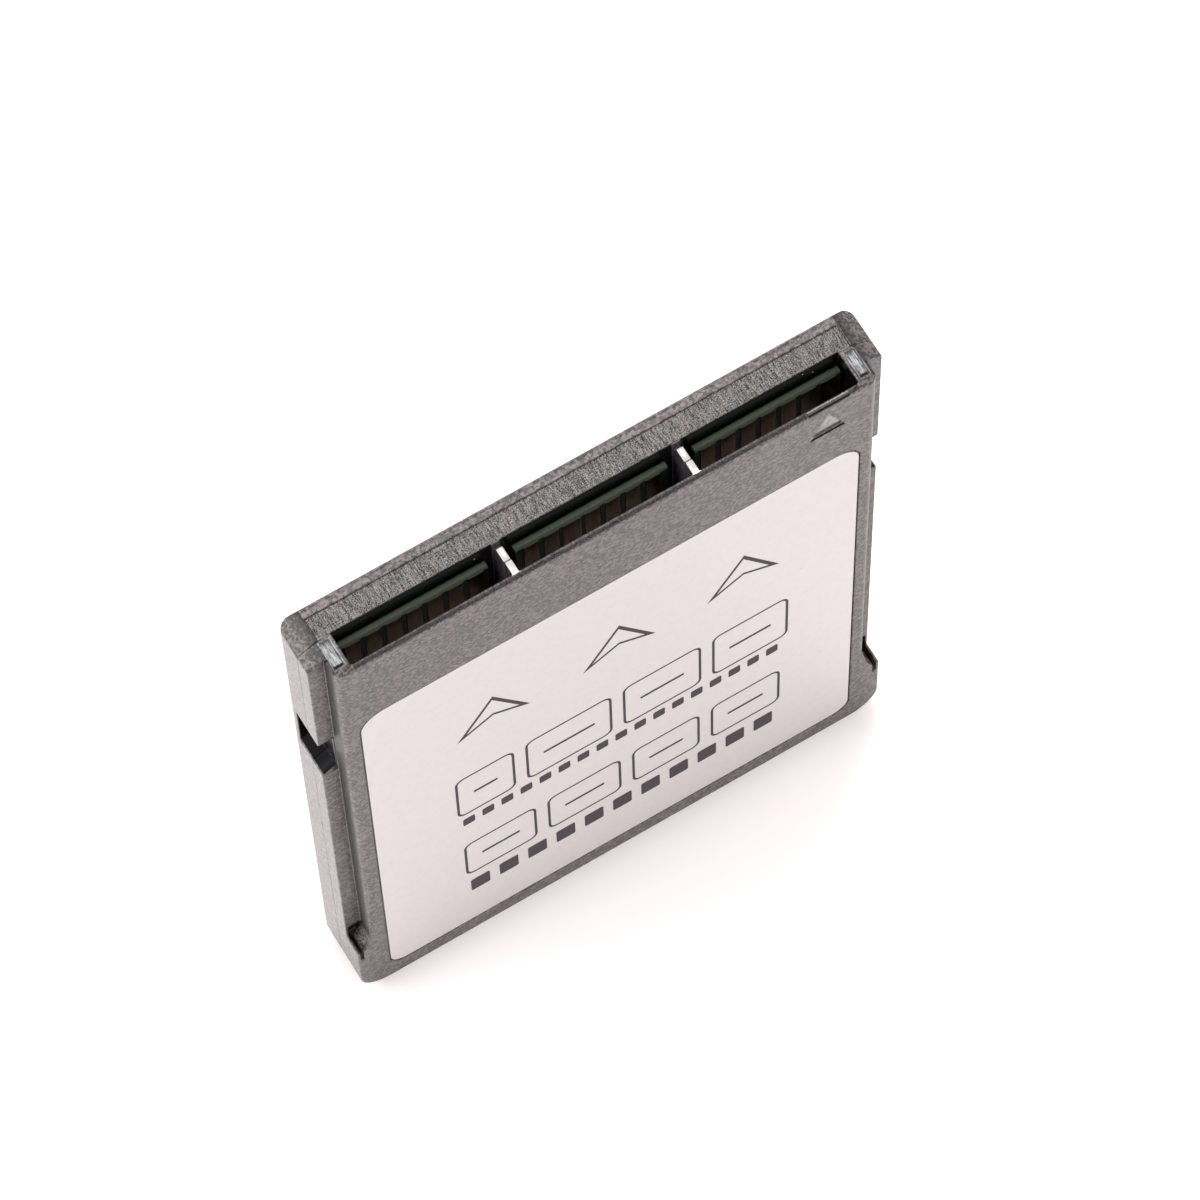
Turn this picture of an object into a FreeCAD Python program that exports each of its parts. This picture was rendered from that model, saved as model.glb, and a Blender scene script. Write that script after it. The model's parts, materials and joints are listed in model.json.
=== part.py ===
import FreeCAD, Part
import math
import os

# Memory card of two moulded half shells round a circuit board, standing on its short base edge.
# X is the width, Y the thickness with the label side at -Y, Z the length with the mouth on top.
# All sizes are in millimetres.

# Outer envelope
card_width = 29.6
card_thickness = 3.8
card_length = 38.5
base_corner_radius = 1.6
top_slope_width = 1.05
top_slope_drop = 0.58
top_slope_radius = 0.22
rear_side_radius = 0.5
rear_top_radius = 0.38
rear_base_bevel = 0.3

# Raised label block on the front shell and the key step at both sides
step_depth = 1.07
step_width = 0.85
block_edge_radius = 0.4
block_top_radius = 0.06
block_base_z = 2.0
flange_height = 4.2
flange_slope_width = 0.68
flange_slope_height = 1.3
flange_fade_width = 0.8
flange_fade_height = 4.5
flange_corner_radius = 0.3
flange_root_radius = 3.0
guard_wall = 0.14
guard_height = 0.8
guard_slit_width = 0.2
guard_slit_depth = 0.2
guard_pocket_base = 0.2
guard_pocket_height = 1.8
guard_pocket_depth = 0.5

# Connector mouth
lip_thickness = 0.28
mouth_thickness = 1.69
mouth_width = 26.1
mouth_depth = 4.9
mouth_rear_relief = 0.08
lip_end_margin = 0.1
lip_drop = 0.1
lip_end_bevel_depth = 0.12
lip_end_bevel_height = 0.25
rib_spacing = 9.28
rib_width = 0.34
rib_front_length = 0.71
rib_joint_gap = 0.06
rib_top_drop = 0.08
rib_heel_length = 0.32
rib_heel_drop = 0.6
rib_foot_gap = 0.1
band_width = 27.4
band_depth = 0.1
band_margin = 0.62
end_pocket_gap = 0.2
end_pocket_width = 0.5
end_pocket_depth = 0.26
end_pocket_margin = 0.12
end_hole_length = 0.22
end_hole_depth = 0.9

# Latch notches in both side rails
notch_depth = 0.75
notch_length = 3.5
notch_from_top = 9.0
notch_rear_plate = 0.7
notch_ramp_height = 0.5
notch_corner_radius = 0.08

# Shell walls, seats and the welded seam
front_wall = 0.4
rear_wall = 0.4
side_wall = 1.55
base_wall = 1.2
board_ledge = 0.65
mouth_bar = 0.6
board_gap = 0.15
seam_groove_inset = 0.2
seam_groove_width = 0.3
seam_groove_depth = 0.35
seam_gap = 0.03
seam_end_from_top = 2.5

# Locating pins and the bosses that clamp the board
pin_radius = 0.5
pin_gap = 0.06
pin_proud = 0.4
boss_radius = 1.0
boss_root = 0.2

# Label and the debossed direction mark
label_recess_depth = 0.12
label_thickness = 0.1
label_gap = 0.08
label_side_margin = 0.8
label_top_margin = 6.1
label_base_margin = 1.25
label_top_radius = 1.3
label_base_radius = 0.9
mark_width = 1.84
mark_height = 1.9
mark_depth = 0.14
mark_from_top = 1.05
mark_from_side = 2.62
mark_corner_radius = 0.03
rear_field_depth = 0.08
rear_field_margin = 1.8
rear_field_top_margin = 7.4
rear_field_radius = 1.5

# Circuit board and its contacts
board_thickness = 0.4
board_corner_radius = 0.5
tongue_gap = 0.1
tongue_setback = 1.1
tongue_bevel = 0.1
tongue_notch_width = 1.4
contact_pitch = 1.05
contact_width = 0.76
wide_contact_width = 0.96
wide_contact_place = 2
contact_length = 2.9
contact_thickness = 0.04
contact_top_gap = 0.12

# Packages on the rear of the board, spread over the cavity between these margins
flash_rows = 2
flash_thickness = 0.9
flash_gap = 0.6
flash_side_margin = 1.3
flash_base_margin = 0.7

# Packages on the front of the board
chip_margin = 0.6
chip_gap = 1.0
controller_size = 11.0
controller_thickness = 0.75
controller_top_margin = 3.4
memory_width = 7.0
memory_height = 10.0
memory_thickness = 0.72
package_bevel = 0.12
dimple_radius = 0.35
dimple_depth = 0.06
dimple_inset = 0.9

# Power section, one row below the controller
row_drop = 1.4
row_gap = 0.6
power_chip_size = 4.0
power_chip_thickness = 0.75
inductor_size = 2.5
inductor_thickness = 0.85
inductor_radius = 0.35
boot_flash_width = 3.0
boot_flash_height = 2.0
boot_flash_thickness = 0.55
crystal_width = 2.5
crystal_height = 2.0
crystal_thickness = 0.55
load_switch_size = 1.6
load_switch_thickness = 0.5

# Small passive parts
holdup_width = 3.5
holdup_height = 2.8
holdup_thickness = 0.8
holdup_gap = 0.7
capacitor_width = 0.5
capacitor_height = 1.0
capacitor_thickness = 0.45
capacitor_pitch = 1.9
capacitor_count = 9
resistor_width = 0.3
resistor_height = 0.6
resistor_thickness = 0.25
resistor_pitch = 1.5
resistor_count = 12
end_cap_share = 0.22
end_cap_proud = 0.02

# Heat pads
heat_pad_inset = 0.6

# Tolerance of comparisons
tiny = 1e-6

# Places that follow from the sizes above
half_width = card_width / 2
front_y = -card_thickness / 2
rear_y = card_thickness / 2
rail_y = front_y + step_depth
slot_front_y = front_y + lip_thickness
seam_y = slot_front_y + mouth_thickness
block_half = half_width - step_width
mouth_half = mouth_width / 2
mouth_rear_y = seam_y + mouth_rear_relief
mouth_floor_z = card_length - mouth_depth
pocket_half = half_width - side_wall
cavity_half = pocket_half - board_ledge
cavity_base_z = base_wall + board_ledge
front_cavity_y = front_y + front_wall
rear_cavity_y = rear_y - rear_wall
front_cavity_top_z = mouth_floor_z - mouth_bar
board_half = pocket_half - board_gap
board_base_z = base_wall + board_gap
board_shoulder_z = mouth_floor_z - board_gap
board_rear_y = seam_y
board_front_y = board_rear_y - board_thickness
tongue_half = mouth_half - tongue_gap
tongue_top_z = card_length - tongue_setback
rib_x = rib_spacing / 2
rib_joint_y = slot_front_y + rib_front_length
boss_x = cavity_half - boss_radius + boss_root
boss_z = front_cavity_top_z - boss_radius + boss_root
label_half = block_half - label_side_margin
label_top_z = card_length - label_top_margin
label_y = front_y + label_recess_depth
resistor_z = boss_z - boss_radius - row_gap - resistor_height
rear_capacitor_z = resistor_z - row_gap - capacitor_height
flash_base_z = cavity_base_z + flash_base_margin
flash_top_z = rear_capacitor_z - row_gap
flash_width = cavity_half - flash_side_margin - flash_gap / 2
flash_height = (flash_top_z - flash_base_z - (flash_rows - 1) * flash_gap) / flash_rows
chips_left_x = -cavity_half + chip_margin
chips_base_z = cavity_base_z + chip_margin
controller_z = front_cavity_top_z - controller_top_margin - controller_size
memory_z = controller_z + controller_size - memory_height
power_row_top_z = min(controller_z, memory_z) - row_drop
power_row_base_z = power_row_top_z - max(power_chip_size, inductor_size)


def box(x0, x1, y0, y1, z0, z1):
    """Solid box between two corners."""
    corner = FreeCAD.Vector(x0, y0, z0)
    return Part.makeBox(x1 - x0, y1 - y0, z1 - z0, corner)


def peg(radius, x, z, y0, y1):
    """Round peg along Y."""
    return Part.makeCylinder(radius, y1 - y0, FreeCAD.Vector(x, y0, z), FreeCAD.Vector(0, 1, 0))


def rounded_plate(corners, y0, y1):
    """Plate along Y from an outline of (x, z, radius) corners, each rounded by a tangent arc."""
    arcs = []
    for i, (x, z, radius) in enumerate(corners):
        here = FreeCAD.Vector(x, y0, z)
        before = FreeCAD.Vector(corners[i - 1][0], y0, corners[i - 1][1])
        after_corner = corners[(i + 1) % len(corners)]
        after = FreeCAD.Vector(after_corner[0], y0, after_corner[1])
        back = (before - here).normalize()
        ahead = (after - here).normalize()
        half_angle = back.getAngle(ahead) / 2
        reach = radius / math.tan(half_angle)
        middle = (back + ahead).normalize() * (radius / math.sin(half_angle) - radius)
        arcs.append((here + back * reach, here + middle, here + ahead * reach))
    edges = []
    for i, (start, middle, end) in enumerate(arcs):
        edges.append(Part.Arc(start, middle, end).toShape())
        following = arcs[(i + 1) % len(arcs)][0]
        edges.append(Part.LineSegment(end, following).toShape())
    return Part.Face(Part.Wire(edges)).extrude(FreeCAD.Vector(0, y1 - y0, 0))


def mirrored_corners(right_side):
    """Full outline from its right side, listed from the base up."""
    left_side = [(-x, z, radius) for x, z, radius in reversed(right_side)]
    return right_side + left_side


def prism_along_x(points, x0, x1):
    """Prism along X from a closed outline of (y, z) points."""
    outline = [FreeCAD.Vector(x0, y, z) for y, z in points]
    outline.append(outline[0])
    return Part.Face(Part.makePolygon(outline)).extrude(FreeCAD.Vector(x1 - x0, 0, 0))


def edges_on(shape, test):
    """Edges whose ends and middle all pass a test."""
    found = []
    for edge in shape.Edges:
        middle = edge.valueAt((edge.FirstParameter + edge.LastParameter) / 2)
        points = [vertex.Point for vertex in edge.Vertexes] + [middle]
        if all(test(point) for point in points):
            found.append(edge)
    return found


def near(a, b):
    return abs(a - b) < tiny


def joined(shapes):
    """One solid from pieces that share faces or overlap."""
    return shapes[0].multiFuse(shapes[1:]).removeSplitter()


def envelope(y0, y1):
    """Full-width outline: round base corners and a lead-in slope at both top corners."""
    right_side = [
        (half_width, 0, base_corner_radius),
        (half_width, card_length - top_slope_drop, top_slope_radius),
        (half_width - top_slope_width, card_length, top_slope_radius),
    ]
    return rounded_plate(mirrored_corners(right_side), y0, y1)


def label_block():
    """Raised front layer with round long edges, and the full-width flange at its base."""
    right_side = [
        (block_half, block_base_z, block_top_radius),
        (block_half, card_length, block_top_radius),
    ]
    block = rounded_plate(mirrored_corners(right_side), front_y, rail_y)

    def on_long_edge(point):
        return near(point.y, front_y) and near(abs(point.x), block_half)

    block = block.makeFillet(block_edge_radius, edges_on(block, on_long_edge))
    root_x = half_width - flange_slope_width
    root_z = flange_height + flange_slope_height
    right_side = [
        (half_width, 0, base_corner_radius),
        (half_width, flange_height, flange_corner_radius),
        (root_x, root_z, flange_root_radius),
        (root_x - flange_fade_width, root_z + flange_fade_height, flange_corner_radius),
    ]
    flange = rounded_plate(mirrored_corners(right_side), front_y, rail_y)
    guards = [
        box(*sorted((side * (half_width - guard_wall), side * half_width)), front_y, rail_y,
            block_base_z, flange_height + guard_height)
        for side in (-1, 1)
    ]
    return joined([block, flange] + guards)


def guard_cutters(side):
    """Slit inside the flange's guard wall, and the pocket behind it in the rail."""
    outer_x = half_width - guard_wall
    top_z = flange_height + guard_pocket_base + guard_pocket_height
    pocket_rear_y = rail_y + guard_pocket_depth
    x0, x1 = sorted((side * (outer_x - guard_slit_width), side * outer_x))
    slit = box(x0, x1, front_y, pocket_rear_y, flange_height - guard_slit_depth, top_z)
    x0, x1 = sorted((side * block_half, side * outer_x))
    pocket = box(x0, x1, rail_y, pocket_rear_y, flange_height + guard_pocket_base, top_z)
    return slit.fuse(pocket)


def latch_notch(side, y0, y1):
    """Cutter for the latch notch, with a ramp at its lower end."""
    top_z = card_length - notch_from_top
    base_z = top_z - notch_length
    inner_x = half_width - notch_depth
    outer_x = half_width + notch_depth
    points = [
        (inner_x, base_z + notch_ramp_height),
        (half_width, base_z),
        (outer_x, base_z),
        (outer_x, top_z),
        (inner_x, top_z),
    ]
    return rounded_plate([(side * x, z, notch_corner_radius) for x, z in points], y0, y1)


def seam_ring(clearance, depth):
    """Upright U that follows the walls: the seam groove, or its tongue with a clearance."""
    inner_half = pocket_half + seam_groove_inset + clearance
    outer_half = pocket_half + seam_groove_inset + seam_groove_width - clearance
    inner_base = base_wall - seam_groove_inset - clearance
    outer_base = base_wall - seam_groove_inset - seam_groove_width + clearance
    top_z = card_length - seam_end_from_top - clearance
    outer = box(-outer_half, outer_half, seam_y, seam_y + depth, outer_base, top_z)
    inner = box(-inner_half, inner_half, seam_y, seam_y + depth, inner_base, top_z)
    return outer.cut(inner)


def mouth_end_cutters(side):
    """Shallow polished pocket beside the mouth's end, with a deeper hole at its front."""
    x0 = mouth_half + end_pocket_gap
    x1 = x0 + end_pocket_width
    y0 = slot_front_y + end_pocket_margin
    y1 = seam_y - end_pocket_margin
    pocket = box(x0, x1, y0, y1, card_length - end_pocket_depth, card_length)
    hole = box(x0, x1, y0, y0 + end_hole_length, card_length - end_hole_depth, card_length)
    cutter = pocket.fuse(hole)
    if side < 0:
        cutter = cutter.mirror(FreeCAD.Vector(0, 0, 0), FreeCAD.Vector(1, 0, 0))
    return cutter


def direction_mark():
    """Triangle sunk into the front face that shows which end goes in."""
    centre_x = block_half - mark_from_side
    top_z = card_length - mark_from_top
    base_z = top_z - mark_height
    corners = [
        (centre_x - mark_width / 2, base_z, mark_corner_radius),
        (centre_x + mark_width / 2, base_z, mark_corner_radius),
        (centre_x, top_z, mark_corner_radius),
    ]
    return rounded_plate(corners, front_y, front_y + mark_depth)


def label_plate(gap, y0, y1):
    """Label outline, or its recess with no gap."""
    right_side = [
        (label_half - gap, label_base_margin + gap, label_base_radius),
        (label_half - gap, label_top_z - gap, label_top_radius),
    ]
    return rounded_plate(mirrored_corners(right_side), y0, y1)


def front_shell():
    rails = envelope(rail_y, seam_y)
    shell = joined([label_block(), rails]).common(envelope(front_y, seam_y))
    cutters = [
        label_plate(0, front_y, label_y),
        direction_mark(),
        box(-pocket_half, pocket_half, board_front_y, seam_y, base_wall, mouth_floor_z),
        box(-cavity_half, cavity_half, front_cavity_y, seam_y, cavity_base_z, front_cavity_top_z),
        box(-mouth_half, mouth_half, slot_front_y, seam_y, mouth_floor_z, card_length),
    ]
    lip_half = mouth_half - lip_end_margin
    cutters.append(box(-lip_half, lip_half, front_y, slot_front_y, card_length - lip_drop, card_length))
    lip_end_bevel = [
        (front_y, card_length),
        (front_y, card_length - lip_end_bevel_height),
        (front_y + lip_end_bevel_depth, card_length),
    ]
    for side in (-1, 1):
        cutters.append(latch_notch(side, rail_y, seam_y))
        cutters.append(mouth_end_cutters(side))
        cutters.append(guard_cutters(side))
        x0, x1 = sorted((side * lip_half, side * half_width))
        cutters.append(prism_along_x(lip_end_bevel, x0, x1))
    shell = shell.cut(Part.makeCompound(cutters))
    additions = [shell, seam_ring(seam_gap, seam_groove_depth - seam_gap)]
    rib_rear_y = rib_joint_y - rib_joint_gap / 2
    for side in (-1, 1):
        x0 = side * rib_x - rib_width / 2
        additions.append(box(x0, x0 + rib_width, slot_front_y, rib_rear_y,
                             mouth_floor_z + rib_foot_gap, card_length - rib_top_drop))
        boss = peg(boss_radius, side * boss_x, boss_z, front_cavity_y, board_front_y)
        additions.append(boss.cut(peg(pin_radius + pin_gap, side * boss_x, boss_z,
                                      board_front_y - pin_proud - pin_gap, board_front_y)))
    return joined(additions)


def rear_top_rounding():
    """Cutter that leaves the rear top edge round along the whole width."""
    reach = rear_top_radius
    sag = reach * (1 - math.sqrt(0.5))
    corner = FreeCAD.Vector(-half_width, rear_y, card_length)
    low = FreeCAD.Vector(-half_width, rear_y, card_length - reach)
    middle = FreeCAD.Vector(-half_width, rear_y - sag, card_length - sag)
    high = FreeCAD.Vector(-half_width, rear_y - reach, card_length)
    edges = [
        Part.LineSegment(corner, low).toShape(),
        Part.Arc(low, middle, high).toShape(),
        Part.LineSegment(high, corner).toShape(),
    ]
    return Part.Face(Part.Wire(edges)).extrude(FreeCAD.Vector(card_width, 0, 0))


def rear_shell():
    """Rear half: round side edges, the top band, rear rib halves, cavity, seam groove and board pins."""
    corner = rear_side_radius
    bend = corner * (1 - math.sqrt(0.5))
    start = FreeCAD.Vector(-half_width, seam_y, 0)
    left_low = FreeCAD.Vector(-half_width, rear_y - corner, 0)
    left_mid = FreeCAD.Vector(-half_width + bend, rear_y - bend, 0)
    left_high = FreeCAD.Vector(-half_width + corner, rear_y, 0)
    right_high = FreeCAD.Vector(half_width - corner, rear_y, 0)
    right_mid = FreeCAD.Vector(half_width - bend, rear_y - bend, 0)
    right_low = FreeCAD.Vector(half_width, rear_y - corner, 0)
    finish = FreeCAD.Vector(half_width, seam_y, 0)
    edges = [
        Part.LineSegment(start, left_low).toShape(),
        Part.Arc(left_low, left_mid, left_high).toShape(),
        Part.LineSegment(left_high, right_high).toShape(),
        Part.Arc(right_high, right_mid, right_low).toShape(),
        Part.LineSegment(right_low, finish).toShape(),
        Part.LineSegment(finish, start).toShape(),
    ]
    column = Part.Face(Part.Wire(edges)).extrude(FreeCAD.Vector(0, 0, card_length))
    shell = column.common(envelope(seam_y, rear_y))

    bevel = [(rear_y, 0), (rear_y, rear_base_bevel), (rear_y - rear_base_bevel, 0)]
    band_half = band_width / 2
    field_half = half_width - rear_field_margin
    field = [
        (field_half, rear_field_margin, rear_field_radius),
        (field_half, card_length - rear_field_top_margin, rear_field_radius),
    ]
    cutters = [
        rear_top_rounding(),
        prism_along_x(bevel, -half_width, half_width),
        box(-band_half, band_half, seam_y, rear_y - band_margin, card_length - band_depth, card_length),
        box(-mouth_half, mouth_half, seam_y, mouth_rear_y, mouth_floor_z, card_length),
        box(-cavity_half, cavity_half, seam_y, rear_cavity_y, cavity_base_z, mouth_floor_z),
        rounded_plate(mirrored_corners(field), rear_y - rear_field_depth, rear_y),
        seam_ring(0, seam_groove_depth),
    ]
    for side in (-1, 1):
        cutters.append(latch_notch(side, seam_y, rear_y - notch_rear_plate))
    shell = shell.cut(Part.makeCompound(cutters))
    rib_front_y = rib_joint_y + rib_joint_gap / 2
    rib_top_z = card_length - band_depth - rib_top_drop
    rib_profile = [
        (rib_front_y, mouth_floor_z + rib_foot_gap),
        (rib_front_y, rib_top_z),
        (mouth_rear_y - rib_heel_length, rib_top_z),
        (mouth_rear_y, rib_top_z - rib_heel_drop),
        (mouth_rear_y, mouth_floor_z + rib_foot_gap),
    ]
    additions = [shell]
    for side in (-1, 1):
        x0 = side * rib_x - rib_width / 2
        additions.append(prism_along_x(rib_profile, x0, x0 + rib_width))
        additions.append(peg(boss_radius, side * boss_x, boss_z, seam_y, rear_cavity_y))
        additions.append(peg(pin_radius, side * boss_x, boss_z, board_front_y - pin_proud, seam_y))
    return joined(additions)


def tongue_spans():
    """The three board tongues between the mouth's ribs, as (left, right) pairs."""
    inner = rib_x - tongue_notch_width / 2
    outer = rib_x + tongue_notch_width / 2
    return [(-tongue_half, -outer), (-inner, inner), (outer, tongue_half)]


def circuit_board():
    right_side = [
        (board_half, board_base_z, board_corner_radius),
        (board_half, board_shoulder_z, board_corner_radius),
    ]
    pieces = [rounded_plate(mirrored_corners(right_side), board_front_y, board_rear_y)]
    tip_profile = [
        (board_front_y, board_shoulder_z - board_corner_radius),
        (board_front_y, tongue_top_z - tongue_bevel),
        (board_front_y + tongue_bevel, tongue_top_z),
        (board_rear_y - tongue_bevel, tongue_top_z),
        (board_rear_y, tongue_top_z - tongue_bevel),
        (board_rear_y, board_shoulder_z - board_corner_radius),
    ]
    for left, right in tongue_spans():
        pieces.append(prism_along_x(tip_profile, left, right))
    board = joined(pieces)
    holes = [peg(pin_radius + pin_gap, side * boss_x, boss_z, board_front_y, board_rear_y)
             for side in (-1, 1)]
    return board.cut(Part.makeCompound(holes))


def contact_group(left, right):
    """Row of gold pads centred on one tongue, as many as it takes; the middle tongue has a wide one."""
    count = int((right - left - contact_width) / contact_pitch) + 1
    first_x = (left + right) / 2 - (count - 1) * contact_pitch / 2
    top_z = tongue_top_z - contact_top_gap
    pads = []
    for i in range(count):
        x = first_x + i * contact_pitch
        is_wide = left < 0 < right and i == wide_contact_place
        half = (wide_contact_width if is_wide else contact_width) / 2
        pads.append(box(x - half, x + half, board_front_y - contact_thickness, board_front_y,
                        top_z - contact_length, top_z))
    return Part.makeCompound(pads)


def package(x0, z0, width, height, thickness, face_y, outward):
    """Moulded chip package on a board face, with a bevelled top and a corner dimple."""
    y0 = min(face_y, face_y + outward * thickness)
    body = box(x0, x0 + width, y0, y0 + thickness, z0, z0 + height)
    top_y = face_y + outward * thickness
    body = body.makeChamfer(package_bevel, edges_on(body, lambda point: near(point.y, top_y)))
    dimple_y = min(top_y, top_y - outward * dimple_depth)
    dimple = peg(dimple_radius, x0 + dimple_inset, z0 + height - dimple_inset,
                 dimple_y, dimple_y + dimple_depth)
    return body.cut(dimple)


def plain_chip(x0, z0, width, height, thickness, face_y, outward):
    """Small package with a bevelled top and no dimple."""
    y0 = min(face_y, face_y + outward * thickness)
    body = box(x0, x0 + width, y0, y0 + thickness, z0, z0 + height)
    top_y = face_y + outward * thickness
    return body.makeChamfer(package_bevel, edges_on(body, lambda point: near(point.y, top_y)))


def wound_inductor(x0, z0):
    """Moulded power inductor: a square block with round upright edges."""
    corners = [
        (x0, z0, inductor_radius),
        (x0 + inductor_size, z0, inductor_radius),
        (x0 + inductor_size, z0 + inductor_size, inductor_radius),
        (x0, z0 + inductor_size, inductor_radius),
    ]
    return rounded_plate(corners, board_front_y - inductor_thickness, board_front_y)


def end_capped(x, z, width, height, thickness, face_y, outward):
    """Two-ended passive part: a body whose metal end caps stand slightly proud."""
    cap = height * end_cap_share
    y_body = sorted((face_y, face_y + outward * (thickness - end_cap_proud)))
    y_cap = sorted((face_y, face_y + outward * thickness))
    half = width / 2
    body = box(x - half + end_cap_proud, x + half - end_cap_proud, y_body[0], y_body[1],
               z + cap, z + height - cap)
    lower = box(x - half, x + half, y_cap[0], y_cap[1], z, z + cap)
    upper = box(x - half, x + half, y_cap[0], y_cap[1], z + height - cap, z + height)
    return joined([body, lower, upper])


def passive_row(count, pitch, z, width, height, thickness, face_y, outward):
    """Row of like passive parts centred on the card."""
    first_x = -(count - 1) * pitch / 2
    return [end_capped(first_x + i * pitch, z, width, height, thickness, face_y, outward)
            for i in range(count)]


def holdup_capacitors():
    """Block of moulded hold-up capacitors, as many as fit below the power row."""
    pitch_x = holdup_width + holdup_gap
    pitch_z = holdup_height + holdup_gap
    columns = int((cavity_half - chip_margin - chips_left_x + holdup_gap) / pitch_x)
    rows = int((power_row_base_z - chips_base_z) / pitch_z)
    parts = []
    for row in range(rows):
        for column in range(columns):
            parts.append(plain_chip(chips_left_x + column * pitch_x, chips_base_z + row * pitch_z,
                                    holdup_width, holdup_height, holdup_thickness, board_front_y, -1))
    return Part.makeCompound(parts)


def flash_places():
    """Lower left corners of the four flash packages on the rear of the board."""
    places = []
    for row in range(flash_rows):
        for left_x in (-flash_gap / 2 - flash_width, flash_gap / 2):
            places.append((left_x, flash_base_z + row * (flash_height + flash_gap)))
    return places


def build_nodes():
    """Every named piece of the card."""
    nodes = {
        "front_shell": front_shell(),
        "rear_shell": rear_shell(),
        "front_label": label_plate(label_gap, label_y - label_thickness, label_y),
        "circuit_board": circuit_board(),
    }
    for name, (left, right) in zip(("left", "middle", "right"), tongue_spans()):
        nodes["contacts_" + name] = contact_group(left, right)

    for number, (x0, z0) in enumerate(flash_places(), start=1):
        nodes["nand_flash_" + str(number)] = package(x0, z0, flash_width, flash_height,
                                                     flash_thickness, board_rear_y, 1)
    pad_half = flash_gap / 2 + flash_width - heat_pad_inset
    nodes["rear_heat_pad"] = box(-pad_half, pad_half, board_rear_y + flash_thickness, rear_cavity_y,
                                 flash_base_z + heat_pad_inset, flash_top_z - heat_pad_inset)

    nodes["controller_chip"] = package(chips_left_x, controller_z, controller_size, controller_size,
                                       controller_thickness, board_front_y, -1)
    controller_right_x = chips_left_x + controller_size
    nodes["front_heat_pad"] = box(chips_left_x + heat_pad_inset, controller_right_x - heat_pad_inset,
                                  front_cavity_y, board_front_y - controller_thickness,
                                  controller_z + heat_pad_inset,
                                  controller_z + controller_size - heat_pad_inset)
    nodes["buffer_memory"] = package(controller_right_x + chip_gap, memory_z, memory_width,
                                     memory_height, memory_thickness, board_front_y, -1)

    x = chips_left_x
    nodes["power_chip"] = package(x, power_row_top_z - power_chip_size, power_chip_size,
                                  power_chip_size, power_chip_thickness, board_front_y, -1)
    x += power_chip_size + row_gap
    for number in (1, 2):
        nodes["power_inductor_" + str(number)] = wound_inductor(x, power_row_top_z - inductor_size)
        x += inductor_size + row_gap
    nodes["boot_flash"] = plain_chip(x, power_row_top_z - boot_flash_height, boot_flash_width,
                                     boot_flash_height, boot_flash_thickness, board_front_y, -1)
    x += boot_flash_width + row_gap
    nodes["clock_crystal"] = plain_chip(x, power_row_top_z - crystal_height, crystal_width,
                                        crystal_height, crystal_thickness, board_front_y, -1)
    x += crystal_width + row_gap
    nodes["load_switch"] = plain_chip(x, power_row_top_z - load_switch_size, load_switch_size,
                                      load_switch_size, load_switch_thickness, board_front_y, -1)
    nodes["holdup_capacitors"] = holdup_capacitors()

    nodes["coupling_capacitors"] = Part.makeCompound(passive_row(
        capacitor_count, capacitor_pitch, controller_z + controller_size + row_gap,
        capacitor_width, capacitor_height, capacitor_thickness, board_front_y, -1))
    nodes["rear_capacitors"] = Part.makeCompound(passive_row(
        capacitor_count, capacitor_pitch, rear_capacitor_z, capacitor_width, capacitor_height,
        capacitor_thickness, board_rear_y, 1))
    nodes["resistors"] = Part.makeCompound(passive_row(
        resistor_count, resistor_pitch, resistor_z, resistor_width, resistor_height,
        resistor_thickness, board_rear_y, 1))
    return nodes


os.makedirs("parts", exist_ok=True)
for node_name, node_shape in build_nodes().items():
    node_shape.exportStep("parts/" + node_name + ".step")
    print(node_name, len(node_shape.Solids), round(node_shape.Volume, 3), node_shape.isValid())
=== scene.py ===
import json
import math

import bmesh
import bpy
import numpy as np
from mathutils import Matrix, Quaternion, Vector


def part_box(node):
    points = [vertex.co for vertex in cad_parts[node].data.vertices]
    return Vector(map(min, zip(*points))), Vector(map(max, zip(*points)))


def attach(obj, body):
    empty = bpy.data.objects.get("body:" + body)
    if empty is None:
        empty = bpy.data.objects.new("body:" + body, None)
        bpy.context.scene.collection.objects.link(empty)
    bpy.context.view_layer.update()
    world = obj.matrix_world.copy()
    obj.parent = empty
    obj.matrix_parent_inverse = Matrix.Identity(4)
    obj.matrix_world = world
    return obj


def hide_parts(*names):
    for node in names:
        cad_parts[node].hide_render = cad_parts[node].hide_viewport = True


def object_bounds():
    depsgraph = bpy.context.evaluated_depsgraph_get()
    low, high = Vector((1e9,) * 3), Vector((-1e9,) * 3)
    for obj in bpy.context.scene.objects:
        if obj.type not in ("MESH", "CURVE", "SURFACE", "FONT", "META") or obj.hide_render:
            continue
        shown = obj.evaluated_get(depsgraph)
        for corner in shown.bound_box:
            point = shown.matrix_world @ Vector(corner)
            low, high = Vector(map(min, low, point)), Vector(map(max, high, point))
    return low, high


# Memory card on a bright studio table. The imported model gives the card's pieces and their places.
# Patterns and print are laid out in millimetres. What is multiplied by mm is in metres, and so are
# the table, the lamps and the camera's place.
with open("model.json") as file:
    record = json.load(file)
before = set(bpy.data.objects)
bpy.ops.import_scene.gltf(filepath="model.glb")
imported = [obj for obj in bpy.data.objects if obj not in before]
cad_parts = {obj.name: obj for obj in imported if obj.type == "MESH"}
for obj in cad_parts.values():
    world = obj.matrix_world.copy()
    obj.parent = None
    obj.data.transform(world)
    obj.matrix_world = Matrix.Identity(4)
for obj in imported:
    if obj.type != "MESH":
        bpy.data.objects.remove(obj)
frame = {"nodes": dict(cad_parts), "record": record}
cadLow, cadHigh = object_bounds()
nodes = frame["nodes"]
print("frame loaded:", len(nodes), "nodes")

mm = 0.001


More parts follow.
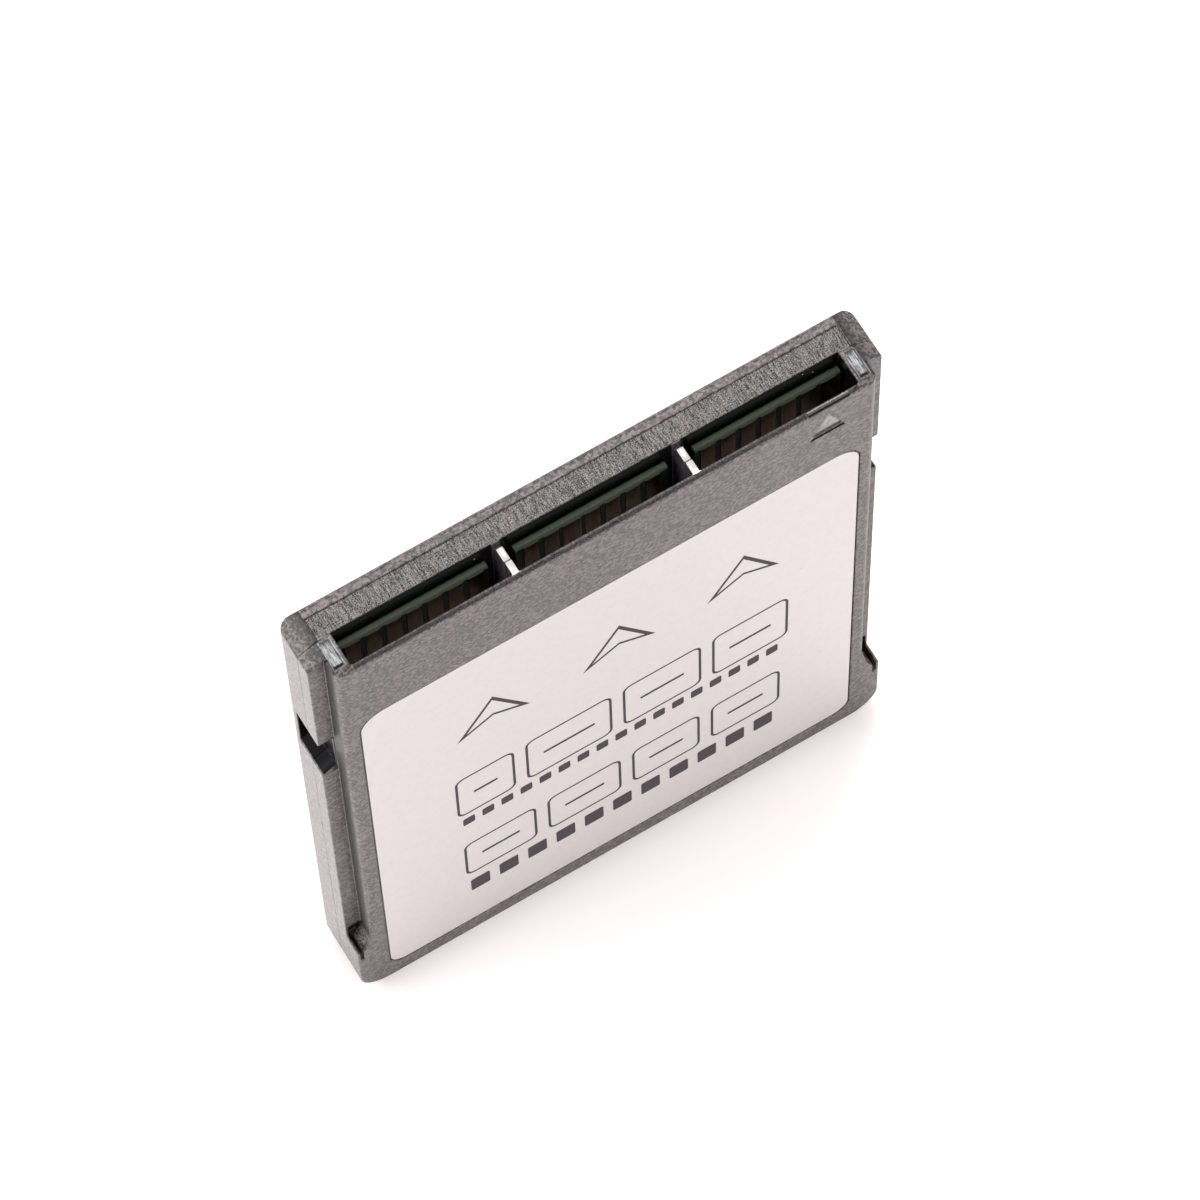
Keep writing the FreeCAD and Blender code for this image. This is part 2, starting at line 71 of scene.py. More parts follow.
class Value:
    # One output socket of a finish. Arithmetic on it adds Math nodes to its finish.
    def __init__(self, finish, socket):
        self.finish = finish
        self.socket = socket

    def math(self, operation, *inputs):
        # One Math node with these inputs in order.
        return self.finish.add("ShaderNodeMath", {"operation": operation}, dict(enumerate(inputs)))

    def __add__(self, other):
        return self.math("ADD", self, other)

    def __radd__(self, other):
        return self.math("ADD", other, self)

    def __sub__(self, other):
        return self.math("SUBTRACT", self, other)

    def __rsub__(self, other):
        return self.math("SUBTRACT", other, self)

    def __mul__(self, other):
        return self.math("MULTIPLY", self, other)

    def __gt__(self, other):
        return self.math("GREATER_THAN", self, other)

    def __lt__(self, other):
        return self.math("LESS_THAN", self, other)

    def __abs__(self):
        return self.math("ABSOLUTE", self)


class Finish:
    # A material whose pattern is laid out in millimetres of Object coordinates.
    def __init__(self, name):
        self.material = bpy.data.materials.new(name)
        self.material.use_nodes = True
        self.tree = self.material.node_tree
        self.tree.nodes.clear()
        self.shader = self.tree.nodes.new("ShaderNodeBsdfPrincipled")
        output = self.tree.nodes.new("ShaderNodeOutputMaterial")
        self.tree.links.new(self.shader.outputs["BSDF"], output.inputs["Surface"])
        place = self.add("ShaderNodeTexCoord", {}, {}, "Object")
        self.place = self.add("ShaderNodeMapping", {}, {"Vector": place, "Scale": (1 / mm,) * 3})
        self.x, self.y, self.z = (self.add("ShaderNodeSeparateXYZ", {}, {0: self.place}, axis)
                                  for axis in "XYZ")

    def add(self, kind, settings, inputs, output=0):
        # One shader node with its settings and inputs, given as the value of one output.
        node = self.tree.nodes.new(kind)
        for name, value in settings.items():
            setattr(node, name, value)
        for key, value in inputs.items():
            self.feed(node.inputs[key], value)
        return Value(self, node.outputs[output])

    def feed(self, target, value):
        # A value is linked; a colour gets alpha 1; a number is set as it is.
        if isinstance(value, Value):
            self.tree.links.new(value.socket, target)
        elif hasattr(value, "__len__") and target.type == "RGBA":
            target.default_value = (*value, 1)
        else:
            target.default_value = value

    def noise(self, scale, detail=2, stretch=(1, 1, 1), roughness=0.5):
        # Fractal noise from 0 to 1 with so many cells in a millimetre along each axis.
        place = self.add("ShaderNodeMapping", {}, {"Vector": self.place, "Scale": stretch})
        return self.add("ShaderNodeTexNoise", {}, {"Vector": place, "Scale": scale, "Detail": detail,
                                                   "Roughness": roughness}, "Fac")

    def cells(self, scale, output="Distance"):
        # Irregular cells, so many in a millimetre: distance to the nearest centre, or its colour.
        return self.add("ShaderNodeTexVoronoi", {}, {"Vector": self.place, "Scale": scale}, output)

    def lots(self, scale):
        # A number from 0 to 1 for each cell, all equally likely.
        return self.add("ShaderNodeSeparateColor", {}, {0: self.cells(scale, output="Color")}, 0)

    def specks(self, scale, size, share):
        # 1 on small round spots: near the centres of a share of the cells.
        return (self.cells(scale) < size * scale) * (self.lots(scale) < share)

    def rise(self, value, low, high):
        # 0 below low, 1 above high, straight between.
        return self.add("ShaderNodeMapRange", {}, {"Value": value, "From Min": low, "From Max": high})

    def between(self, value, low, high):
        # 1 where low < value < high, else 0.
        return (value > low) * (value < high)

    def blend(self, mask, tone, other):
        # tone where the mask is 0, other where it is 1, in proportion between.
        return self.add("ShaderNodeMix", {"data_type": "RGBA"}, {0: mask, 6: tone, 7: other}, 2)

    def finishAs(self, colour, roughness, height=None, metallic=0.0, **constants):
        # Links colour, roughness, metallic and bump height in millimetres; sets the rest by name.
        self.feed(self.shader.inputs["Base Color"], colour)
        self.feed(self.shader.inputs["Roughness"], roughness)
        self.feed(self.shader.inputs["Metallic"], metallic)
        for name, value in constants.items():
            self.shader.inputs[name].default_value = value
        if height is not None:
            bump = self.add("ShaderNodeBump", {}, {"Height": height, "Distance": mm, "Strength": 1.0})
            self.feed(self.shader.inputs["Normal"], bump)
        return self.material


def ringFaces(rows, columns, closeRows):
    # Quads of a grid whose columns close on themselves, and whose rows may.
    row, column = np.meshgrid(np.arange(rows if closeRows else rows - 1), np.arange(columns),
                              indexing="ij")
    below, beside = (row + 1) % rows, (column + 1) % columns
    quads = [row * columns + column, row * columns + beside,
             below * columns + beside, below * columns + column]
    return np.stack(quads, axis=-1).reshape(-1, 4)


def placed(name, data):
    # A new object of a mesh, lamp or camera, linked into the scene.
    made = bpy.data.objects.new(name, data)
    bpy.context.scene.collection.objects.link(made)
    return made


mergeDistance = 0.0001 * mm


def meshObject(name, shapes):
    # One object from (points, faces) pairs. Points that coincide are merged, which closes a filled
    # shape at its middle.
    points, faces, first = [], [], 0
    for shapePoints, shapeFaces in shapes:
        points.append(shapePoints.reshape(-1, 3))
        faces.append(shapeFaces + first)
        first += len(points[-1])
    mesh = bpy.data.meshes.new(name)
    mesh.from_pydata(np.concatenate(points).tolist(), [], np.concatenate(faces).tolist())
    work = bmesh.new()
    work.from_mesh(mesh)
    bmesh.ops.remove_doubles(work, verts=work.verts, dist=mergeDistance)
    bmesh.ops.recalc_face_normals(work, faces=work.faces)
    work.to_mesh(mesh)
    work.free()
    return placed(name, mesh)


def wear(piece, material):
    # The piece's own material list becomes this one material.
    piece.data.materials.clear()
    piece.data.materials.append(material)


def dress(piece, material, slotName=None, *replaced):
    # A visible piece on the card's one body, which may take the place of CAD nodes.
    wear(piece, material)
    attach(piece, "root")
    if replaced:
        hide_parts(*replaced)


# Housing: two moulded shells of black plastic that mirrors the bright table at a low angle. Across
# is the distance from the middle plane, through is Y and up is Z, all in millimetres; a pair is a
# low and a high limit. Angles are in degrees.
housing = {
    "black": (0.003, 0.002, 0.002),
    # Painted glints: the grey speckles the black plastic where its grain would catch the light.
    "glintGrey": (0.130, 0.106, 0.112),
    # The black of the band and lip, and painted shade on the block's sides, the corners, the triangle's
    # lower edge and the notches.
    "blackAndShade": (0.005, 0.005, 0.006),
    # Painted glints: lighter streaks on the band and on the lip.
    "bandGlint": (0.215, 0.203, 0.188),
    "lipGlint": (0.110, 0.100, 0.102),
    # Painted highlight on the rib tops.
    "ribTopHighlight": (0.34, 0.33, 0.32),
    # Painted reflection in the end pockets, streaked between these two tones.
    "pocketReflectionDark": (0.035, 0.040, 0.046),
    "pocketReflectionLight": (0.40, 0.42, 0.42),
    # Painted sheen on the rib sides.
    "ribSideSheen": (0.085, 0.080, 0.090),
    "wallBlack": (0.004, 0.0035, 0.0035),
    "dustTone": (0.85, 0.82, 0.78),
    "roughness": 0.36,
    "grainPerMm": 7.0,
    "grainHeightMm": 0.030,
    "glintsPerMm": 8.0,
    "glintStep": (0.40, 0.80),
    "grainStep": (0.36, 0.62),
    "streaksPerMm": 14.0,
    "beadsPerMm": 20.0,
    "streakHeightMm": 0.012,
    "mouthHalf": 13.07,
    "mouthThrough": (-1.63, 0.16),
    "ribAcross": (4.42, 4.86),
    "ribGlossUp": 37.6,
    "ribTopUp": 38.28,
    "wallUp": 38.36,
    "notchAcross": (13.95, 14.72),
    "notchUp": (25.85, 29.62),
    "notchRear": 1.22,
    "pocketAcross": (13.2, 13.8),
    "pocketThrough": (-1.52, -0.03),
    "pocketUp": 37.5,
    "triangleAlongX": (10.3, 12.45),
    "triangleUp": 35.3,
    "markThrough": (-1.82, -1.7),
    "markEdgeThrough": (-1.885, -1.82),
    "cornerAcross": (13.74, 14.45),
    "cornerUp": 37.6,
    "cornerFront": -1.0,
    "bandHalf": 13.72,
    "bandThrough": (0.16, 1.30),
    "bandUp": (38.3, 38.45),
    "lipHalf": 12.96,
    "lipThrough": (-1.86, -1.61),
    "lipUp": 38.2,
    "sideAcross": (13.80, 14.02),
    "sideThrough": (-1.66, -0.88),
    "sideUp": 4.6,
    "railAcross": 14.74,
    "dust": {"scale": 0.42, "size": 0.056, "share": 0.28},
    "lint": {"scale": 1.7, "size": 0.034, "share": 0.30},
    "weld": 0.03 * mm,
    "flatAngle": 0.4,
    "edgeRadius": 0.045 * mm,
    "edgeSegments": 2,
    "edgeAngle": 32.0,
    "flatWeight": 100,
}


def housingFinish(name):
    # Grain outside, with grey speckles painted as glints; a smooth dark mouth, and notches painted near
    # black as shade; a band beside the mouth, and the lip, streaked with painted glints. A mask is 1
    # inside limits of |X|, Y and Z, or of X for the triangle, and corner also fades outwards. The tones
    # are laid over one
    # another by their masks: side, corner and the triangle's edge paint shade, the rib tops a highlight,
    # the rib sides a sheen and the end pockets a reflection.
    paint = Finish(name)
    x, y, z = abs(paint.x), paint.y, paint.z
    grain = paint.noise(housing["grainPerMm"], 2, roughness=0.6)
    glintSpeckle = paint.rise(paint.lots(housing["glintsPerMm"]), *housing["glintStep"])
    inMouth = (x < housing["mouthHalf"]) * paint.between(y, *housing["mouthThrough"])
    rib = paint.between(x, *housing["ribAcross"]) * inMouth
    wall = inMouth * (z < housing["wallUp"]) * (1 - rib)
    notch = (paint.between(x, *housing["notchAcross"]) * paint.between(z, *housing["notchUp"])
             * (y < housing["notchRear"]))
    pocket = (paint.between(x, *housing["pocketAcross"]) * paint.between(y, *housing["pocketThrough"])
              * (z > housing["pocketUp"]))
    triangle = paint.between(paint.x, *housing["triangleAlongX"]) * (z > housing["triangleUp"])
    mark = triangle * paint.between(y, *housing["markThrough"])
    # markEdgeShade, corner and side mark where shade is painted.
    markEdgeShade = triangle * paint.between(y, *housing["markEdgeThrough"])
    corner = ((x > housing["cornerAcross"][0]) * (z > housing["cornerUp"])
              * (1 - paint.rise(x, *housing["cornerAcross"])) * (y > housing["cornerFront"]))
    band = ((x < housing["bandHalf"]) * paint.between(y, *housing["bandThrough"])
            * paint.between(z, *housing["bandUp"]))
    lip = (x < housing["lipHalf"]) * paint.between(y, *housing["lipThrough"]) * (z > housing["lipUp"])
    side = (paint.between(x, *housing["sideAcross"]) * paint.between(y, *housing["sideThrough"])
            * (z > housing["sideUp"]))
    railSide = x > housing["railAcross"]

    streaks = paint.noise(housing["streaksPerMm"], 3, (1, 0.16, 1), 0.7)
    beads = paint.noise(housing["beadsPerMm"], 2, (1, 0.7, 1), 0.7)
    # Painted glints: streaks and beads lighten the band and the lip as if they caught the lamp.
    paintedGlints = paint.rise(streaks * 0.4 + beads * 0.6, 0.42, 0.68)
    dust = paint.specks(**housing["dust"])
    lint = paint.specks(**housing["lint"]) * inMouth

    # Painted glints: grain and speckle lay the grey over the black plastic, as light caught by its
    # grain.
    tone = paint.blend(paint.rise(grain, *housing["grainStep"]) * 0.3 + glintSpeckle * 0.7,
                       housing["black"], housing["glintGrey"])
    tone = paint.blend(lip, tone, paint.blend(paintedGlints, housing["blackAndShade"], housing["lipGlint"]))
    # Painted shade: the block's sides by the rail, the corners beside the band and the triangle's lower
    # wall are darkened to near black.
    tone = paint.blend(side * 0.7 + markEdgeShade + corner * 0.8, tone, housing["blackAndShade"])
    tone = paint.blend(band, tone, paint.blend(paintedGlints, housing["blackAndShade"], housing["bandGlint"]))
    # Painted light on the ribs: a grey sheen on their sides and a light highlight on their tops.
    tone = paint.blend(rib, tone, housing["ribSideSheen"])
    tone = paint.blend(rib * (z > housing["ribTopUp"]), tone, housing["ribTopHighlight"])
    # Painted shade: the notches are painted near black and given little reflection, for the shade inside
    # them.
    tone = paint.blend(notch, tone, housing["blackAndShade"])
    tone = paint.blend(wall, tone, housing["wallBlack"])
    # Painted reflection: the end pockets are streaked light bluish grey, as the lamp's light broken up
    # on their floors.
    tone = paint.blend(pocket, tone, paint.blend(paint.rise(streaks, 0.35, 0.65), housing["pocketReflectionDark"],
                                                 housing["pocketReflectionLight"]))
    tone = paint.blend(dust + lint, tone, housing["dustTone"])
    roughness = (housing["roughness"] + grain * 0.10 - rib * 0.26 - (wall + notch) * 0.22
                 - mark * 0.12 + streaks * pocket * 0.10)
    height = (grain * housing["grainHeightMm"] * (1 - rib * 0.8) * (1 - wall) * (1 - notch)
              * (1 - mark * 0.8) * (1 - pocket * 0.3)
              + streaks * (band + pocket) * housing["streakHeightMm"])
    metallic = (band * 0.85 + lip * 0.8 + notch * 0.9 + pocket * 0.5 + side * 0.4 + markEdgeShade * 0.8
                + corner * 0.5)
    coat = mark * 0.60 + rib * (z > housing["ribGlossUp"]) + railSide * 0.26
    paint.feed(paint.shader.inputs["Coat Weight"], coat)
    return paint.finishAs(tone, roughness, height, metallic,
                          **{"IOR": 1.56, "Coat IOR": 1.8, "Coat Roughness": 0.10})


def roundedCopy(node, name):
    # Copy of a CAD node with its flat faces whole again and its sharp edges slightly round. Points
    # are kept inside the node's own box.
    low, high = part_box(node)
    mesh = nodes[node].data.copy()
    work = bmesh.new()
    work.from_mesh(mesh)
    bmesh.ops.remove_doubles(work, verts=work.verts, dist=housing["weld"])
    bmesh.ops.dissolve_limit(work, angle_limit=math.radians(housing["flatAngle"]),
                             verts=work.verts, edges=work.edges)
    sharp = [edge for edge in work.edges if edge.calc_face_angle(0) > math.radians(housing["edgeAngle"])]
    bmesh.ops.bevel(work, geom=sharp, offset=housing["edgeRadius"], segments=housing["edgeSegments"],
                    profile=0.5, affect="EDGES", clamp_overlap=False)
    for vertex in work.verts:
        vertex.co = [min(max(place, least), most) for place, least, most in zip(vertex.co, low, high)]
    work.to_mesh(mesh)
    work.free()
    mesh.shade_smooth()
    made = placed(name, mesh)
    shading = made.modifiers.new("flat faces", "WEIGHTED_NORMAL")
    shading.mode = "FACE_AREA"
    shading.weight = housing["flatWeight"]
    return made


housingMaterial = housingFinish("housingPlastic")
for node in ("front_shell", "rear_shell"):
    skin = roundedCopy(node, node + "_skin")
    dress(skin, housingMaterial, "housing_plastic", node)
print("housing shells dressed")


# Label: satin foil with plain print, no words and no numbers.
label = {
    "foil": (0.605, 0.590, 0.585),
    "shade": (0.505, 0.485, 0.480),
    "scuff": (0.40, 0.36, 0.35),
    "washUp": (2.0, 30.0),
    "roughness": 0.40,
    "metallic": 0.7,
    "ink": (0.030, 0.026, 0.034),
    "worn": (0.075, 0.066, 0.078),
    "inkProud": 0.006 * mm,
    "inkSunk": 0.002 * mm,
    "line": 0.17,
    "boldLine": 0.22,
}


def foilFinish():
    # Foil that darkens with soft noise and towards the top, with a few faint round scuffs.
    paint = Finish("labelFoil")
    mottle = paint.noise(2.2, 4, roughness=0.65)
    fine = paint.noise(9.0, 2)
    wash = paint.rise(paint.z, *label["washUp"])
    tone = paint.blend(mottle * 0.5 + wash * 0.4, label["foil"], label["shade"])
    scuffs = paint.specks(0.8, 0.10, 0.10)
    tone = paint.blend(scuffs * 0.3, tone, label["scuff"])
    return paint.finishAs(tone, label["roughness"] + mottle * 0.10, fine * 0.002 + mottle * 0.004,
                          label["metallic"])


def inkFinish():
    # Dark ink, worn paler by noise.
    paint = Finish("printInk")
    worn = paint.noise(6.0, 3)
    tone = paint.blend(worn * 0.6, label["ink"], label["worn"])
    return paint.finishAs(tone, 0.55 + worn * 0.15, worn * 0.001, **{"Specular IOR Level": 0.12})


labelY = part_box("front_label")[0].y


def innerOutline(outline, widths):
    # Each corner is where the two edges beside it meet once moved inwards by their widths.
    ahead = np.roll(outline, -1, axis=0) - outline
    ahead /= np.linalg.norm(ahead, axis=1)[:, None]
    inward = np.stack([-ahead[:, 1], ahead[:, 0]], axis=1)
    reach = np.sum(inward * outline, axis=1) + widths
    pairs = np.stack([np.roll(inward, 1, axis=0), inward], axis=1)
    return np.linalg.solve(pairs, np.stack([np.roll(reach, 1), reach], axis=1)[:, :, None])[:, :, 0]


def layer(outline, y):
    # Outline in millimetres of X and Z, laid at one Y.
    return np.stack([outline[:, 0] * mm, np.full(len(outline), y), outline[:, 1] * mm], axis=1)


def strokeShape(outline, widths):
    # Closed line of print: a thin rectangle carried round the outline, inside it.
    outline = np.asarray(outline, float)
    inner = innerOutline(outline, np.broadcast_to(widths, len(outline)))
    front, back = labelY - label["inkProud"], labelY + label["inkSunk"]
    profile = np.stack([layer(outline, front), layer(inner, front), layer(inner, back),
                        layer(outline, back)])
    return profile, ringFaces(4, len(outline), True)


def patchShape(outline):
    # Filled print: rows run from a point at the front over the rim to a point at the back.
    outline = np.asarray(outline, float)
    middle = np.broadcast_to(outline.mean(axis=0), outline.shape)
    front, back = labelY - label["inkProud"], labelY + label["inkSunk"]
    profile = np.stack([layer(middle, front), layer(outline, front), layer(outline, back),
                        layer(middle, back)])
    return profile, ringFaces(4, len(outline), False)


def roundedBar(left, right, low, high, radius, perCorner=5):
    # Counter-clockwise rectangle with quarter circles at its corners.
    turn = np.linspace(0, math.pi / 2, perCorner)
    arcs = []
    for quarter, (x, z) in enumerate([(right - radius, high - radius), (left + radius, high - radius),
                                      (left + radius, low + radius), (right - radius, low + radius)]):
        angle = turn + quarter * math.pi / 2
        arcs.append(np.stack([x + radius * np.cos(angle), z + radius * np.sin(angle)], axis=1))
    return np.concatenate(arcs)


# Print in millimetres of X and Z. An arrow's other corners are steps from its tip.
arrows = {
    "tips": [(-6.43, 27.03), (0.29, 27.04), (6.98, 27.05)],
    "right": (1.91, -3.15),
    "notch": (-0.02, -2.14),
    "left": (-1.98, -3.22),
}


def arrowShape(tip):
    # The arrow's corners are its tip plus fixed steps, and its right side has a bolder line.
    outline = np.array([(0, 0), arrows["left"], arrows["notch"], arrows["right"]]) + tip
    widths = np.array([label["line"], label["line"], label["line"], label["boldLine"]])
    return strokeShape(outline, widths)


bars = {
    "upperRow": {"low": 14.9, "high": 19.4, "left": -8.75, "widths": [3.2, 4.7, 4.3, 4.2], "gap": 0.60},
    "lowerRow": {"low": 7.2, "high": 11.1, "left": -8.6, "widths": [4.0, 4.1, 3.8, 3.9], "gap": 0.62},
    "corner": 0.5,
    "line": 0.14,
    "ruleInset": 0.95,
    "ruleHeight": 0.22,
    "ruleRound": 0.6,
}


def barRow(row):
    # Outlined bars with a short rule in the middle of each.
    left, shapes = row["left"], []
    middle, half = (row["low"] + row["high"]) / 2, bars["ruleHeight"] / 2
    for width in row["widths"]:
        outline = roundedBar(left, left + width, row["low"], row["high"], bars["corner"])
        shapes.append(strokeShape(outline, bars["line"]))
        shapes.append(patchShape(roundedBar(left + bars["ruleInset"], left + width - bars["ruleInset"],
                                            middle - half, middle + half,
                                            half * bars["ruleRound"])))
        left += width + row["gap"]
    return shapes


dashes = {
    "upperRow": {"middle": 14.0, "height": 0.80, "left": -8.5, "right": 9.3, "count": 17, "fill": 0.62},
    "lowerRow": {"middle": 5.65, "height": 1.35, "left": -8.4, "right": 9.2, "count": 11, "fill": 0.66},
    "corner": 0.12,
}


def dashRow(row):
    # Filled dashes, one at the start of each pitch, as wide as a share of it.
    pitch = (row["right"] - row["left"]) / row["count"]
    low, high = row["middle"] - row["height"] / 2, row["middle"] + row["height"] / 2
    lefts = row["left"] + pitch * np.arange(row["count"])
    return [patchShape(roundedBar(left, left + pitch * row["fill"], low, high, dashes["corner"]))
            for left in lefts]


foilMaterial, inkMaterial = foilFinish(), inkFinish()
wear(nodes["front_label"], foilMaterial)
dress(meshObject("label_arrows", [arrowShape(tip) for tip in arrows["tips"]]), inkMaterial)
dress(meshObject("label_bars", barRow(bars["upperRow"]) + barRow(bars["lowerRow"])), inkMaterial)
dress(meshObject("label_dashes", dashRow(dashes["upperRow"]) + dashRow(dashes["lowerRow"])),
      inkMaterial)
print("label printed")


# The board, its contacts and the parts inside. Up is the height in millimetres.
inside = {
    "resist": (0.010, 0.016, 0.011),
    "resistLight": (0.018, 0.028, 0.018),
    "laminate": (0.054, 0.076, 0.045),
    # Painted shade: the gold and its dull tone are darker than bare gold, for the shade in the slot.
    "gold": (0.42, 0.20, 0.10),
    "goldDullShade": (0.110, 0.052, 0.030),
    "padEnd": (0.030, 0.024, 0.018),
    "boardEdgeUp": (37.2, 37.42),
    "padEndUp": 37.27,
    "resin": (0.020, 0.020, 0.022),
    "resinLight": (0.045, 0.045, 0.048),
    "lid": (0.68, 0.67, 0.64),
    "lidDark": (0.52, 0.51, 0.49),
    "ferrite": (0.075, 0.078, 0.085),
    "ferriteLight": (0.150, 0.152, 0.158),
    "pad": (0.36, 0.41, 0.46),
    "padLight": (0.52, 0.56, 0.60),
}


def boardFinish():
    # Green resist below, and the paler woven laminate of the cut edge at the top.
    paint = Finish("boardResist")
    weave = paint.noise(6.0, 2, (1, 3, 0.4))
    cloth = paint.noise(3.0, 3)
    edge = paint.rise(paint.z, *inside["boardEdgeUp"])
    tone = paint.blend(cloth * 0.6, inside["resist"], inside["resistLight"])
    tone = paint.blend(edge * (0.2 + weave * 0.9), tone, inside["laminate"])
    return paint.finishAs(tone, 0.30 + edge * 0.35 + cloth * 0.08, cloth * 0.003 + weave * edge * 0.006)


def goldFinish():
    # The upper ends of the pads are cut laminate, so they stay dull.
    paint = Finish("contactGold")
    wipeAndShade = paint.noise(5.0, 3, (1, 1, 0.08))
    end = paint.z > inside["padEndUp"]
    # Painted shade and wear: the gold darkens in streaks along Z, for the shade in the slot as well as
    # wiped wear.
    tone = paint.blend(wipeAndShade * 0.8, inside["gold"], inside["goldDullShade"])
    tone = paint.blend(end, tone, inside["padEnd"])
    return paint.finishAs(tone, 0.16 + wipeAndShade * 0.10 + end * 0.6, wipeAndShade * 0.001, 1 - end)


def resinFinish():
    # Black resin with fine grain and a slow cloud of paler tone.
    paint = Finish("packageResin")
    grain = paint.noise(14.0, 3, roughness=0.6)
    cloud = paint.noise(0.9, 2)
    tone = paint.blend(grain * 0.5 + cloud * 0.3, inside["resin"], inside["resinLight"])
    return paint.finishAs(tone, 0.52 + grain * 0.15, grain * 0.006)


def lidFinish():
    # Metal with noise stretched along X, as brushed.
    paint = Finish("crystalLid")
    brush = paint.noise(12.0, 2, (0.1, 1, 1))
    tone = paint.blend(brush * 0.5, inside["lid"], inside["lidDark"])
    return paint.finishAs(tone, 0.24 + brush * 0.14, brush * 0.002, 1.0)


def ferriteFinish():
    # Pressed powder: rough fine noise in tone, roughness and height.
    paint = Finish("inductorCore")
    powder = paint.noise(10.0, 4, roughness=0.7)
    tone = paint.blend(powder, inside["ferrite"], inside["ferriteLight"])
    return paint.finishAs(tone, 0.62 + powder * 0.15, powder * 0.010)


# Small parts tinned at both ends along Z. Height is a part's size along Z in millimetres, and pitch
# is the step between rows, which only the hold-up capacitors have more than one of.
capped = {
    "holdup_capacitors": {"body": (0.30, 0.20, 0.07), "lighter": (0.42, 0.30, 0.12), "height": 2.8,
                          "pitch": 3.5},
    "coupling_capacitors": {"body": (0.36, 0.26, 0.16), "lighter": (0.46, 0.35, 0.23), "height": 1.0,
                            "pitch": 2.0},
    "rear_capacitors": {"body": (0.36, 0.26, 0.16), "lighter": (0.46, 0.35, 0.23), "height": 1.0,
                        "pitch": 2.0},
    "resistors": {"body": (0.045, 0.045, 0.052), "lighter": (0.09, 0.09, 0.10), "height": 0.6,
                  "pitch": 2.0},
}
tin = {"colour": (0.62, 0.60, 0.57), "share": 0.22}


def cappedFinish(node, plan):
    # Moulded or fired bodies. Height in a row is Z above the node's lowest point, modulo the pitch,
    # and a part is tinned within a share of its height from either end.
    paint = Finish(node)
    grain = paint.noise(8.0, 3)
    along = paint.z.math("FLOORED_MODULO", paint.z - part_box(node)[0].z / mm, plan["pitch"])
    cap = tin["share"] * plan["height"]
    ends = 1 - paint.between(along, cap, plan["height"] - cap)
    tone = paint.blend(ends, paint.blend(grain * 0.7, plan["body"], plan["lighter"]), tin["colour"])
    return paint.finishAs(tone, 0.40 + grain * 0.15 - ends * 0.12, grain * 0.004, ends)


def padFinish():
    # Soft silicone mottled by its filler.
    paint = Finish("heatPad")
    filler = paint.noise(5.0, 4, roughness=0.7)
    tone = paint.blend(filler * 0.8, inside["pad"], inside["padLight"])
    return paint.finishAs(tone, 0.72 + filler * 0.12, filler * 0.012)


slotFinishes = {
    "circuit_board": boardFinish(),
    "contact_gold": goldFinish(),
    "package_resin": resinFinish(),
    "crystal_lid": lidFinish(),
    "inductor_core": ferriteFinish(),
    "heat_pad": padFinish(),
}
nodeFinishes = {node: cappedFinish(node, plan) for node, plan in capped.items()}
for part in frame["record"]["subparts"]:
    finish = nodeFinishes.get(part["node"]) or slotFinishes.get(part["material_slot"])
    if finish:
        wear(nodes[part["node"]], finish)
print("inner parts finished")


# Table, light and camera.
studio = {
    "tableSize": 3.0,
    "table": (0.90, 0.885, 0.885),
    "tableShade": (0.87, 0.855, 0.86),
    "worldLight": 1.43,
    "worldTone": (1.0, 0.945, 0.94),
    "boxes": {
        "back box": {"from": (0.19, 0.36, 0.91), "distance": 0.60, "size": 0.18, "power": 1.3},
        "left box": {"from": (-0.67, 0.35, 0.65), "distance": 0.70, "size": 0.50, "power": 2.5},
    },
}


def tableFinish():
    # Matte, nearly white, with slow noise many millimetres wide.
    paint = Finish("paleTable")
    fibre = paint.noise(0.02, 2)
    tone = paint.blend(fibre * 0.3, studio["table"], studio["tableShade"])
    return paint.finishAs(tone, 0.75)


def tableTop():
    # One square at height 0, its middle under the card.
    half = studio["tableSize"] / 2
    corners = [(-half, -half, 0), (half, -half, 0), (half, half, 0), (-half, half, 0)]
    mesh = bpy.data.meshes.new("table")
    mesh.from_pydata(corners, [], [(0, 1, 2, 3)])
    top = placed("table", mesh)
    wear(top, tableFinish())


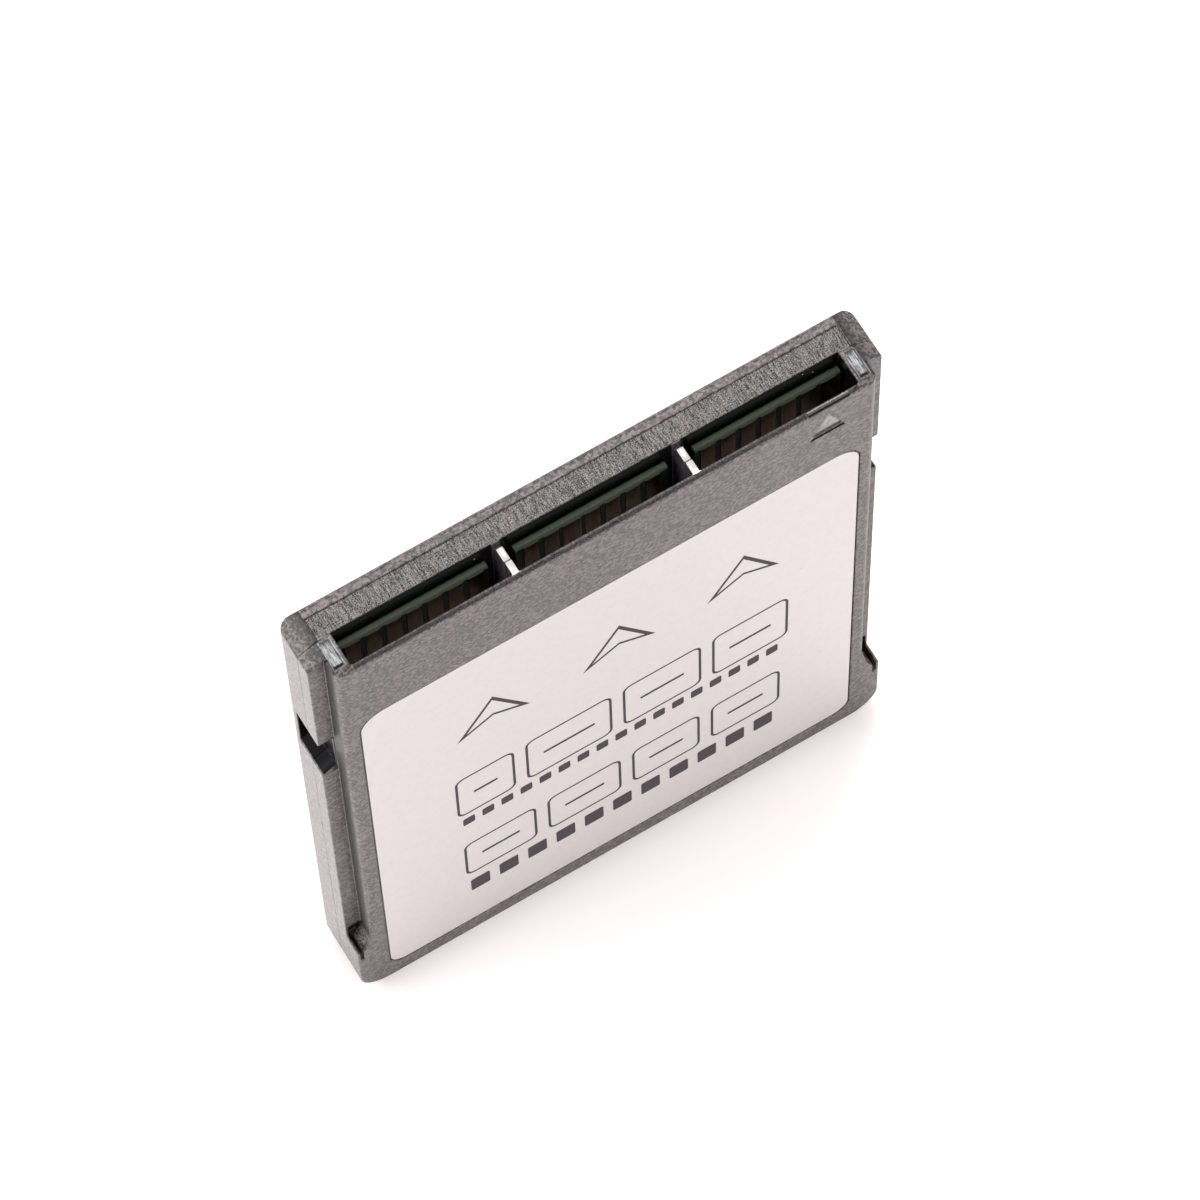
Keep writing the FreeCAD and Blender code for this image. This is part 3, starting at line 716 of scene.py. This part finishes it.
def softBox(name, box, aim):
    # A square lamp at a distance from the aim along its direction, turned back to face the aim.
    lamp = bpy.data.lights.new(name, "AREA")
    lamp.shape, lamp.size, lamp.energy = "SQUARE", box["size"], box["power"]
    holder = placed(name, lamp)
    away = Vector(box["from"]).normalized()
    holder.location = aim + away * box["distance"]
    holder.rotation_mode = "QUATERNION"
    holder.rotation_quaternion = (-away).to_track_quat("-Z", "Y")


def skyLight():
    # The same warm white from every direction.
    world = bpy.data.worlds.new("studioWhite")
    world.use_nodes = True
    sky = world.node_tree.nodes["Background"]
    sky.inputs["Color"].default_value = (*studio["worldTone"], 1)
    sky.inputs["Strength"].default_value = studio["worldLight"]
    bpy.context.scene.world = world


# Viewpoint: angles in degrees, lens and sensor in millimetres, other lengths in metres.
viewpoint = {
    "aim": (0.00247, 0.00379, 0.01616),
    "distance": 0.310,
    "azimuth": -28.728,
    "elevation": 66.601,
    "roll": -2.449,
    "lens": 195.8,
    "sensor": 36.0,
    "clip": (0.01, 20.0),
}


def studioCamera():
    # The camera stands back from its aim by azimuth and elevation, looks at it, and then rolls.
    turn, lift = math.radians(viewpoint["azimuth"]), math.radians(viewpoint["elevation"])
    back = Vector((math.sin(turn) * math.cos(lift), -math.cos(turn) * math.cos(lift), math.sin(lift)))
    camera = bpy.data.cameras.new("camera")
    camera.lens, camera.sensor_width = viewpoint["lens"], viewpoint["sensor"]
    camera.clip_start, camera.clip_end = viewpoint["clip"]
    holder = placed("camera", camera)
    holder.location = Vector(viewpoint["aim"]) + back * viewpoint["distance"]
    holder.rotation_mode = "QUATERNION"
    roll = Quaternion((0, 0, 1), math.radians(viewpoint["roll"]))
    holder.rotation_quaternion = (-back).to_track_quat("-Z", "Y") @ roll
    bpy.context.scene.camera = holder


tableTop()
skyLight()
middle = (cadLow + cadHigh) / 2
for boxName, boxPlan in studio["boxes"].items():
    softBox(boxName, boxPlan, middle)
studioCamera()
bpy.context.scene.view_settings.view_transform = "Standard"
print("studio ready")
